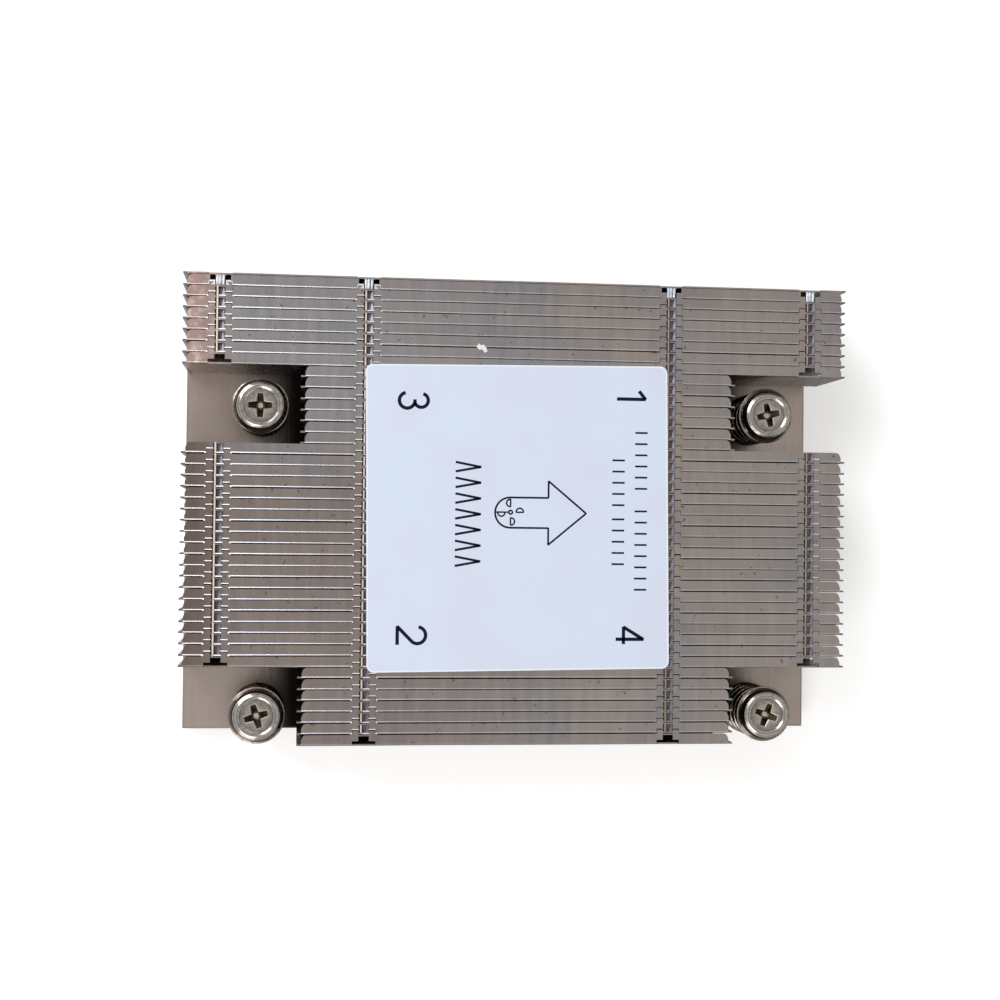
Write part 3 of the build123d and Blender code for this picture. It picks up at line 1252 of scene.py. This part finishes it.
@dataclass
class CaptiveScrew:
    """A captive screw with its head, shank and thread, its washer and its spring."""

    number: int
    turn: float
    coil: tuple[bpy.types.NodeTree, dict[str, str]]
    head_radius: float = 4.3
    flat_radius: float = 2.95
    flat_drop: float = 0.24
    crest_radius: float = 3.55
    slope_radius: float = 4.1
    slope_fall: float = 0.22
    rim_height: float = 1.5
    rim_bevel: float = 0.15
    head_gap: float = 0.01
    shank_radius: float = 2.5
    shank_lift: float = 6.0
    shank_bevel: float = 0.2
    neck_radius: float = 1.6
    thread_radius: float = 2.0
    thread_root: float = 1.7
    thread_bevel: float = 0.4
    thread_top: float = 1.95
    thread_wire: float = 0.25
    thread_pitch: float = 0.7
    recess_half: float = 2.1
    arm_half: float = 0.5
    recess_depth: float = 1.7
    recess_flare: float = 0.14
    film: float = 0.03
    floor_shade: float = 0.45
    washer_radius: float = 5.15
    washer_clearance: float = 0.08
    spring_radius: float = 4.4
    spring_wire: float = 0.5
    spring_turns: float = 5.5
    press_range: float = 5.9

    def __post_init__(self) -> None:
        """Read the levels and the place from the CAD nodes."""
        low, high = node_box(f"screw_{self.number}")
        self.centre = ((low.x + high.x) / 2, (low.y + high.y) / 2)
        self.bottom, self.top = low.z, high.z
        ring_low, ring_high = node_box(f"washer_{self.number}")
        self.ring_low, self.ring_high = ring_low.z, ring_high.z
        self.plate_top = node_box("base_plate")[1].z

    def recess(self) -> bpy.types.Object:
        """Make the cutter of the cross recess: four tapering arms with flared mouths.

        Returns:
            The cutter, closed and turned as the screw is.
        """
        face = self.top - self.flat_drop
        flare, half, depth = self.recess_flare, self.recess_half, self.recess_depth
        # Each level's height, how much wider the arms' halves are there, and how far the arms reach
        levels = (
            (face + 0.1, flare * 2, half + flare * 2),
            (face - flare, 0.0, half),
            (face - depth * 0.8, -0.06, half * 0.42),
            (face - depth, -0.2, half * 0.2),
        )
        spins = [Matrix.Rotation(math.radians(90 * side + self.turn), 2) for side in range(4)]
        shape = bmesh.new()
        rings = []
        for height, grow, reach in levels:
            arm = self.arm_half + grow
            quarter = [Vector((reach, -arm * 0.9)), Vector((reach, arm * 0.9)), Vector((arm * 1.2, arm * 1.2))]
            corners = [Vector(self.centre) + spin @ point for spin in spins for point in quarter]
            rings.append([shape.verts.new((*corner, height)) for corner in corners])
        tube(shape, rings)
        return fill_outward(f"recess_{self.number}", shape)

    def line_recess(self, cutter: bpy.types.Object, painted_shade: bpy.types.Material) -> None:
        """Line the recess with a thin film: a painted highlight at the mouth, painted shade on the walls and less
        of it on the floor.

        Args:
            cutter: The recess's cutter.
            painted_shade: The film's finish.
        """
        shape = bmesh.new()
        shape.from_mesh(cutter.data)
        mouth, near = (self.top - self.flat_drop) * MM, 0.01 * MM
        parts = [*shape.verts, *shape.edges, *shape.faces]
        bmesh.ops.bisect_plane(shape, geom=parts, plane_co=(0, 0, mouth), plane_no=(0, 0, 1), clear_outer=True)
        bmesh.ops.reverse_faces(shape, faces=shape.faces)
        floor = min(vert.co.z for vert in shape.verts)
        painted_share = shape.verts.layers.float.new("painted_shade")
        for vert in shape.verts:
            vert[painted_share] = 1.0
            if vert.co.z > mouth - near:
                vert[painted_share] = 0.0
            elif vert.co.z < floor + near:
                vert[painted_share] = self.floor_shade
        bmesh.ops.scale(shape, vec=(1 / MM, 1 / MM, 1 / MM), verts=shape.verts)
        sheet = fill_mesh(f"recess_film_{self.number}_sheet", shape)
        wall = sheet.modifiers.new("film", "SOLIDIFY")
        wall.thickness = self.film * MM
        wall.offset = 1.0
        lined = applied(sheet, f"recess_film_{self.number}")
        dress(lined, painted_shade, "screw_steel", Body.TURN.named(self.number))

    def profile(self) -> list[tuple[float, ...]]:
        """Draw the screw's profile, from the middle of its end to the middle of its head.

        Returns:
            Radius, height and share of painted shade of each corner.
        """
        rim = self.ring_high + self.rim_height
        fall = self.top - self.slope_fall - rim
        spread = self.head_radius - self.slope_radius
        # A slope of about 23 degrees round the crest catches the lamps in a crescent
        angles = [math.pi / 2 * step / 5 for step in range(5, -1, -1)]
        shoulder = [(self.slope_radius + spread * math.sin(turn), rim + fall * math.cos(turn)) for turn in angles]
        under = self.ring_high + self.head_gap
        face = self.top - self.flat_drop
        return [
            (0.0, self.bottom),
            (self.thread_root - self.thread_bevel, self.bottom),
            (self.thread_root, self.bottom + self.thread_bevel),
            (self.thread_root, self.thread_top),
            (self.neck_radius, self.thread_top),
            (self.neck_radius, self.plate_top + self.shank_lift),
            (self.shank_radius - self.shank_bevel, self.plate_top + self.shank_lift),
            (self.shank_radius, self.plate_top + self.shank_lift + self.shank_bevel),
            (self.shank_radius, under),
            (self.head_radius - self.rim_bevel, under),
            (self.head_radius, self.ring_high + self.rim_bevel),
            *shoulder,
            (self.slope_radius - 0.12, self.top - self.slope_fall * 0.78, 0.75),
            (self.slope_radius - 0.2, self.top - self.slope_fall * 0.6, 0.0),
            (self.crest_radius + 0.08, self.top - 0.02, 0.0),
            (self.crest_radius, self.top, 0.3),
            (self.crest_radius - 0.08, self.top - 0.02, 0.65),
            (self.crest_radius - 0.16, self.top - 0.06, 0.1),
            (self.flat_radius + 0.1, self.top - self.flat_drop * 0.9, 0.2),
            (self.flat_radius + 0.03, face - 0.04, 0.85),
            (self.flat_radius - 0.08, face, 0.45),
            (self.flat_radius - 0.6, face, 0.3),
            (0.0, face, 0.22),
        ]

    def build(self, steel: bpy.types.Material, painted_shade: bpy.types.Material) -> None:
        """Turn the screw, cut its recess and wind its thread.

        Args:
            steel: The screw's finish.
            painted_shade: The recess's finish, which carries painted shade and a painted highlight.
        """
        screw = turned(f"screw_{self.number}_turned", self.profile(), self.centre)
        cutter = self.recess()
        cut = screw.modifiers.new("recess", "BOOLEAN")
        cut.operation = "DIFFERENCE"
        cut.solver = "EXACT"
        cut.object = cutter
        head = applied(screw, f"captive_screw_{self.number}")
        self.line_recess(cutter, painted_shade)
        bpy.data.objects.remove(cutter)
        dress(head, steel, "screw_steel", Body.TURN.named(self.number), f"screw_{self.number}")
        tree, identifiers = self.coil
        turns = (self.thread_top - self.bottom - 2 * self.thread_wire) / self.thread_pitch
        values = {
            "Place": Vector((*self.centre, self.bottom + self.thread_wire + 0.1)) * MM,
            "Radius": (self.thread_radius - self.thread_wire) * MM,
            "Wire": self.thread_wire * MM,
            "Turns": turns,
            "Rise": turns * self.thread_pitch * MM,
            "End Share": 0.02,
            "End Rise": 0.0,
            "Steps": 32,
            "Material": steel,
        }
        thread = run_tree(tree, identifiers, values, f"screw_thread_{self.number}")
        dress(thread, steel, "screw_steel", Body.TURN.named(self.number))

    def build_washer(self, steel: bpy.types.Material) -> None:
        """Turn the washer, with its upper edge rounded by the stamping.

        Args:
            steel: The washer's finish.
        """
        bore = self.shank_radius + self.washer_clearance
        low, high, edge = self.ring_low, self.ring_high, self.washer_radius
        # The third value is the share of painted shade, most of it in the groove beside the head
        profile = [
            (bore, low),
            (edge - 0.05, low),
            (edge, low + 0.05),
            (edge, high - 0.36),
            *arc((edge - 0.1, high - 0.36), 0.1, 0, 70, 3),
            (edge - 0.25, high - 0.26, 0.2),
            (edge - 0.35, high - 0.21, 0.75),
            (self.head_radius + 0.22, high - 0.05, 0.5),
            (self.head_radius + 0.1, high - 0.2, 0.95),
            (self.head_radius, high - 0.2, 0.95),
            (self.head_radius - 0.1, high, 0.95),
            (bore + 0.1, high),
            (bore, high - 0.1),
        ]
        washer = turned(f"screw_washer_{self.number}", profile, self.centre)
        dress(washer, steel, "washer_steel", Body.PRESS.named(self.number), f"washer_{self.number}")

    def build_spring(self, steel: bpy.types.Material) -> None:
        """Wind the spring between the plate and the washer.

        Args:
            steel: The wire's finish.
        """
        free = self.ring_low - self.plate_top
        wire = self.spring_wire
        tree, identifiers = self.coil
        values = {
            "Place": Vector((*self.centre, self.plate_top + wire)) * MM,
            "Radius": self.spring_radius * MM,
            "Wire": wire * MM,
            "Turns": self.spring_turns,
            "Rise": (free - 2 * wire) * MM,
            "End Share": 1 / self.spring_turns,
            "End Rise": (2 * wire + 0.05) * MM,
            "Steps": 36,
            "Material": steel,
        }
        spring = run_tree(tree, identifiers, values, f"pressure_spring_{self.number}", smooth_angle=60.0)
        dress(spring, steel, "spring_wire", Body.STACK.named(), f"spring_{self.number}")
        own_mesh(spring)


@dataclass
class PrintedLabel:
    """The label and its plain print: four numbers, an arrow and bare marks where words stood."""

    centre: Point = (-0.3, 8.2)
    size: Point = (55.2, 55.5)
    corner: float = 1.3
    turn: float = 0.8
    film: float = 0.08
    edge_line: float = 0.3
    ink_gap: float = 0.002
    ink_depth: float = 0.01
    digit_height: float = 5.55
    digit_line: float = 0.62
    digits: tuple[tuple[str, Point], ...] = (
        ("3", (-19.6, 29.05)),
        ("1", (20.25, 30.45)),
        ("2", (-19.6, -13.3)),
        ("4", (20.35, -13.2)),
    )
    arrow_y: float = 9.1
    arrow_back: float = -1.9
    arrow_neck: float = 5.1
    arrow_tip: float = 12.05
    arrow_halves: Point = (2.75, 5.8)
    arrow_line: float = 0.34
    hub: Point = (-1.83, 9.17)
    hub_radius: float = 0.34
    bar_reach: Point = (-2.7, -0.4)
    blade_middle: float = 1.68
    blade_halves: Point = (0.68, 0.75)
    chevron_count: int = 7
    chevron_start: float = 17.3
    chevron_pitch: float = 2.85
    chevron_ends: Point = (-11.9, -7.3)
    chevron_half: float = 0.85
    chevron_line: float = 0.42
    tick_rows: tuple[tuple[float, float, int], ...] = (
        (22.2, 24.0, 6),
        (22.2, 9.6, 8),
        (18.0, 18.9, 5),
        (18.0, 8.1, 5),
    )
    tick_pitch: float = 2.05
    tick_half: float = 1.15

    def __post_init__(self) -> None:
        """Read the film's level from its CAD node, and work out the ink's."""
        self.base = node_box("label")[0].z
        self.level = self.base + self.film + self.ink_gap

    def strokes(self) -> dict[str, list[Stroke]]:
        """Give each number's strokes on a box one unit high, with its foot at the origin."""
        return {
            "1": [[(0.13, 0.76), (0.41, 0.99)], [(0.40, 0.985), (0.40, 0.02)]],
            "2": [arc((0.33, 0.70), 0.27, 172, -38, 18) + [(0.05, 0.05), (0.64, 0.05)]],
            "3": [
                arc((0.33, 0.745), 0.225, 165, -68, 14),
                arc((0.335, 0.285), 0.255, 78, -168, 18),
                [(0.30, 0.535), (0.42, 0.535)],
            ],
            "4": [[(0.62, 0.29), (0.06, 0.29), (0.46, 0.95), (0.46, 0.03)]],
        }

    def softened(self, points: Stroke, reach: float, closed: bool) -> Stroke:
        """Cut each sharp corner of a line in two, so that the line keeps its width round it.

        Args:
            points: The middle of the line.
            reach: How far before and after a corner it is cut.
            closed: Whether the last point joins the first.

        Returns:
            The points of the line with its cut corners.
        """
        count = len(points)
        soft = []
        for step, point in enumerate(points):
            here = Vector(point)
            back = Vector(points[step - 1]) - here
            ahead = Vector(points[(step + 1) % count]) - here
            if (not closed and step in (0, count - 1)) or back.angle(ahead) > math.radians(120):
                soft.append(tuple(here))
            else:
                soft += [tuple(here + way.normalized() * reach) for way in (back, ahead)]
        return soft

    def ink_line(self, shape: bmesh.types.BMesh, points: Stroke, width: float, closed: bool = False) -> None:
        """Add one inked line of even width.

        Args:
            shape: The mesh that takes it.
            points: The middle of the line.
            width: Its width.
            closed: Whether the last point joins the first.
        """
        points = self.softened(points, width * 0.3, closed)
        count = len(points)
        rings = []
        for step, point in enumerate(points):
            before = Vector(points[step - 1]) if step or closed else None
            after = Vector(points[(step + 1) % count]) if step < count - 1 or closed else None
            here = Vector(point)
            into = (here - before).normalized() if before is not None else (after - here).normalized()
            out = (after - here).normalized() if after is not None else into
            square = Vector((-into.y, into.x))
            normal = square + Vector((-out.y, out.x))
            normal = normal.normalized() if normal.length > 1e-6 else square
            # A corner's sides stand further apart, so that the line doesn't thin out there
            aside = normal * width / 2 / max(normal.dot(square), 0.75)
            left, right = here + aside, here - aside
            high, low = self.level + self.ink_depth, self.level
            corners = ((left, high), (right, high), (right, low), (left, low))
            rings.append([shape.verts.new((*place, level)) for place, level in corners])
        tube(shape, rings, closed)

    def outline(self, inset: float) -> Stroke:
        """Draw the film's rounded outline, turned as the film is.

        Args:
            inset: How far inside the film's edge the line runs.

        Returns:
            The outline's points, anticlockwise.
        """
        half_x, half_y, radius = self.size[0] / 2 - inset, self.size[1] / 2 - inset, self.corner - inset
        points = []
        for quarter, (side_x, side_y) in enumerate(((1, 1), (-1, 1), (-1, -1), (1, -1))):
            middle = (side_x * (half_x - radius), side_y * (half_y - radius))
            points += arc(middle, radius, 90 * quarter, 90 * quarter + 90, 6)
        spin = Matrix.Rotation(math.radians(self.turn), 2)
        return [tuple(spin @ Vector(point) + Vector(self.centre)) for point in points]

    def print_digits(self, shape: bmesh.types.BMesh) -> None:
        """Print the numbers, each turned a quarter clockwise, so that its height runs along +X."""
        height = self.digit_height
        for digit, (x, y) in self.digits:
            for stroke in self.strokes()[digit]:
                points = [(x + (v - 0.5) * height, y - (u - 0.35) * height) for u, v in stroke]
                self.ink_line(shape, points, self.digit_line)

    def print_arrow(self, shape: bmesh.types.BMesh) -> None:
        """Print the arrow, with a plain fan in its tail: a hub, four half-round blades and a bar."""
        middle, neck, (half, wide) = self.arrow_y, self.arrow_neck, self.arrow_halves
        head = [(neck, middle + half), (neck, middle + wide), (self.arrow_tip, middle)]
        head += [(x, 2 * middle - y) for x, y in reversed(head[:2])]
        tail = arc((self.arrow_back, middle), half, 270, 90, 16)
        self.ink_line(shape, head + tail, self.arrow_line, closed=True)
        hub = Vector(self.hub)
        self.ink_line(shape, arc(hub, self.hub_radius, 0, 330, 11), 0.3, closed=True)
        self.ink_line(shape, [(hub.x + reach, hub.y) for reach in self.bar_reach], 0.26)
        long, wide = self.blade_halves
        half_round = [Vector((self.blade_middle + long * x, wide * y)) for x, y in arc((0, 0), 1.0, 0, 180, 10)]
        for blade in range(4):
            spin = Matrix.Rotation(math.pi / 2 * blade, 2)
            self.ink_line(shape, [tuple(hub + spin @ point) for point in half_round], 0.28, closed=True)

    def print_marks(self, shape: bmesh.types.BMesh) -> None:
        """Print plain marks where the words stood: chevrons that point with the arrow, and rows of ticks."""
        back, tip = self.chevron_ends
        for step in range(self.chevron_count):
            y = self.chevron_start - step * self.chevron_pitch
            chevron = [(back, y + self.chevron_half), (tip, y), (back, y - self.chevron_half)]
            self.ink_line(shape, chevron, self.chevron_line)
        for x, start, count in self.tick_rows:
            for step in range(count):
                y = start - step * self.tick_pitch
                self.ink_line(shape, [(x - self.tick_half, y), (x + self.tick_half, y)], self.arrow_line)

    def build(self, film: bpy.types.Material, edge: bpy.types.Material, ink: bpy.types.Material) -> None:
        """Lay the film on the fins, and print on it.

        Args:
            film: The film's finish.
            edge: The finish of the painted highlight along its cut edge.
            ink: The print's finish.
        """
        shape = bmesh.new()
        levels = (self.base + self.film, self.base)
        slab(shape, *([(*corner, level) for corner in self.outline(0.0)] for level in levels))
        dress(fill_mesh("label_film", shape), film, "label_film", Body.STACK.named(), "label")
        # A ribbon along the film's cut edge carries a painted highlight
        shape = bmesh.new()
        self.ink_line(shape, self.outline(self.edge_line / 2), self.edge_line, closed=True)
        dress(fill_outward("label_cut_edge", shape), edge, "label_film", Body.STACK.named())
        shape = bmesh.new()
        self.print_digits(shape)
        self.print_arrow(shape)
        self.print_marks(shape)
        dress(fill_outward("label_print", shape), ink, "label_film", Body.STACK.named())


@dataclass
class PaintChip:
    """The small white chip that lies on a fin top behind the label."""

    place: Point = (-7.36, 38.92)
    outline: tuple[Point, ...] = (
        (-0.9, 0.2),
        (-0.5, 0.75),
        (-0.15, 0.45),
        (0.3, 0.6),
        (0.75, 0.1),
        (0.95, -0.6),
        (0.4, -0.75),
        (0.1, -0.25),
        (-0.45, -0.3),
    )
    thickness: float = 0.08
    spread: float = 1.1
    gap: float = 0.005

    def build(self, material: bpy.types.Material) -> None:
        """Make the chip as a thin flake that widens downwards.

        Args:
            material: The chip's finish.
        """
        top = node_box("fin_05")[1].z
        levels = ((1.0, top + self.thickness), (self.spread, top + self.gap))
        x, y = self.place
        shape = bmesh.new()
        slab(shape, *([(x + u * grow, y + v * grow, level) for u, v in self.outline] for grow, level in levels))
        dress(fill_outward("paint_chip", shape), material, "label_film", Body.STACK.named())


@dataclass(frozen=True)
class Softbox:
    """A rectangular soft lamp: where it hangs, its width and height, and its power in watts."""

    name: str
    place: tuple[float, float, float]
    size: Point
    power: float

    def hang(self, target: Vector) -> None:
        """Hang the lamp so that it points at a target.

        Args:
            target: The place that it points at, in millimetres.
        """
        lamp = bpy.data.lights.new(self.name, "AREA")
        lamp.shape = "RECTANGLE"
        lamp.size, lamp.size_y = self.size[0] * MM, self.size[1] * MM
        lamp.energy = self.power
        stand = bpy.data.objects.new(self.name, lamp)
        bpy.context.scene.collection.objects.link(stand)
        stand.location = Vector(self.place) * MM
        stand.rotation_euler = (target - Vector(self.place)).to_track_quat("-Z", "Y").to_euler()


@dataclass
class Studio:
    """The floor, the lamps, the backdrop and the camera."""

    floor_size: float = 900.0
    floor_drop: float = 0.02
    floor_lift: float = 0.42
    world_colour: str = "#FFFDFA"
    world_strength: float = 0.45
    # The lamp at the back throws the shadow, and the one at the front lights the folds
    softboxes: tuple[Softbox, ...] = (
        Softbox("back_softbox", (-420, 420, 620), (420, 420), 3.4),
        Softbox("front_softbox", (-270, -550, 560), (420, 560), 2.4),
    )
    target: tuple[float, float, float] = (0.0, 9.0, 20.0)
    camera_place: tuple[float, float, float] = (-40.483, 3.809, 359.995)
    # The camera's right, up and backward directions, as fitted to the photograph
    camera_rows: tuple[tuple[float, float, float], ...] = (
        (0.989899, 0.010007, 0.141421),
        (-0.013126, 0.999690, 0.021140),
        (-0.141166, -0.022783, 0.989724),
    )
    focal_pixels: float = 1853.76
    image_pixels: float = 1000.0
    centre_share: float = 0.56
    sensor: float = 36.0

    def build_floor(self, paint: bpy.types.Material) -> None:
        """Lay the floor under the contact face.

        Args:
            paint: The floor's finish, which gets its lift for camera rays here.
        """
        shape = bmesh.new()
        half = self.floor_size / 2
        sides = ((-1, -1), (1, -1), (1, 1), (-1, 1))
        shape.faces.new([shape.verts.new((x * half, y * half, -self.floor_drop)) for x, y in sides])
        floor = fill_mesh("floor", shape)
        # Camera rays see the paint a little lighter, so that the open floor is white and the shadow stays
        tree = paint.node_tree
        shader = tree.nodes["Principled BSDF"]
        seen = add_node(tree, "ShaderNodeLightPath").outputs["Is Camera Ray"]
        lift = add_node(tree, "ShaderNodeMath", {0: seen, 1: self.floor_lift}, operation="MULTIPLY").outputs[0]
        tree.links.new(lift, shader.inputs["Emission Strength"])
        shader.inputs["Emission Color"].default_value = linear("#FFFFFF")
        floor.data.materials.append(paint)

    def build_world(self) -> None:
        """Make the world white behind the object and in its reflections, and soft in its light."""
        world = bpy.data.worlds.new("studio")
        bpy.context.scene.world = world
        world.use_nodes = True
        tree = world.node_tree
        tree.nodes.clear()
        rays = add_node(tree, "ShaderNodeLightPath")
        seen = rays.outputs["Is Camera Ray"]
        for kind in ("Is Glossy Ray", "Is Transmission Ray"):
            inputs = {0: seen, 1: rays.outputs[kind]}
            seen = add_node(tree, "ShaderNodeMath", inputs, operation="MAXIMUM").outputs[0]
        inputs = {"Color": linear(self.world_colour), "Strength": self.world_strength}
        soft = add_node(tree, "ShaderNodeBackground", inputs).outputs["Background"]
        inputs = {"Color": linear("#FFFFFF"), "Strength": 1.0}
        white = add_node(tree, "ShaderNodeBackground", inputs).outputs["Background"]
        mix = add_node(tree, "ShaderNodeMixShader", {0: seen, 1: soft, 2: white}).outputs["Shader"]
        add_node(tree, "ShaderNodeOutputWorld", {"Surface": mix})

    def build_lamps(self) -> None:
        """Hang the lamps, pointing at the middle of the object."""
        for softbox in self.softboxes:
            softbox.hang(Vector(self.target))

    def build_camera(self) -> None:
        """Set the camera where the photograph was taken from."""
        camera = bpy.data.cameras.new("photo_view")
        camera.sensor_width = self.sensor
        camera.lens = self.focal_pixels / self.image_pixels * self.sensor
        camera.shift_x = 0.5 - self.centre_share
        camera.clip_start = 0.01
        camera.clip_end = 20.0
        holder = bpy.data.objects.new("photo_view", camera)
        bpy.context.scene.collection.objects.link(holder)
        turn = Matrix(self.camera_rows).transposed().to_4x4()
        holder.matrix_world = Matrix.Translation(Vector(self.camera_place) * MM) @ turn
        bpy.context.scene.camera = holder


def main() -> None:
    """Build the heatsink's looks around its frame, then the studio."""
    FinStack().build(FIN_NICKEL.material())
    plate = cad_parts["base_plate"]
    plate.data.materials.clear()
    plate.data.materials.append(PLATE_NICKEL.material())
    log.info("%s: the frame's own mesh, with its finish", plate.name)
    coil = coil_tree()
    screw_steel = SCREW_PLATE.material()
    washer_steel = WASHER_PLATE.material()
    spring_steel = SPRING_STEEL.material()
    painted_shade = RECESS_SHADE.material()
    # Each screw stands as it was left, so its cross recess is turned by an angle of its own
    for number, turn in ((1, 13.0), (2, 17.0), (3, 0.0), (4, -20.0)):
        screw = CaptiveScrew(number, turn, coil)
        screw.build(screw_steel, painted_shade)
        screw.build_washer(washer_steel)
        screw.build_spring(spring_steel)
    PrintedLabel().build(LabelFilm().material(), FILM_EDGE_HIGHLIGHT.material(), INK.material())
    PaintChip().build(CHIP.material())
    studio = Studio()
    studio.build_floor(FLOOR_PAINT.material())
    studio.build_world()
    studio.build_lamps()
    studio.build_camera()
    bpy.context.scene.view_settings.view_transform = "Standard"


if __name__ == "__main__":
    main()
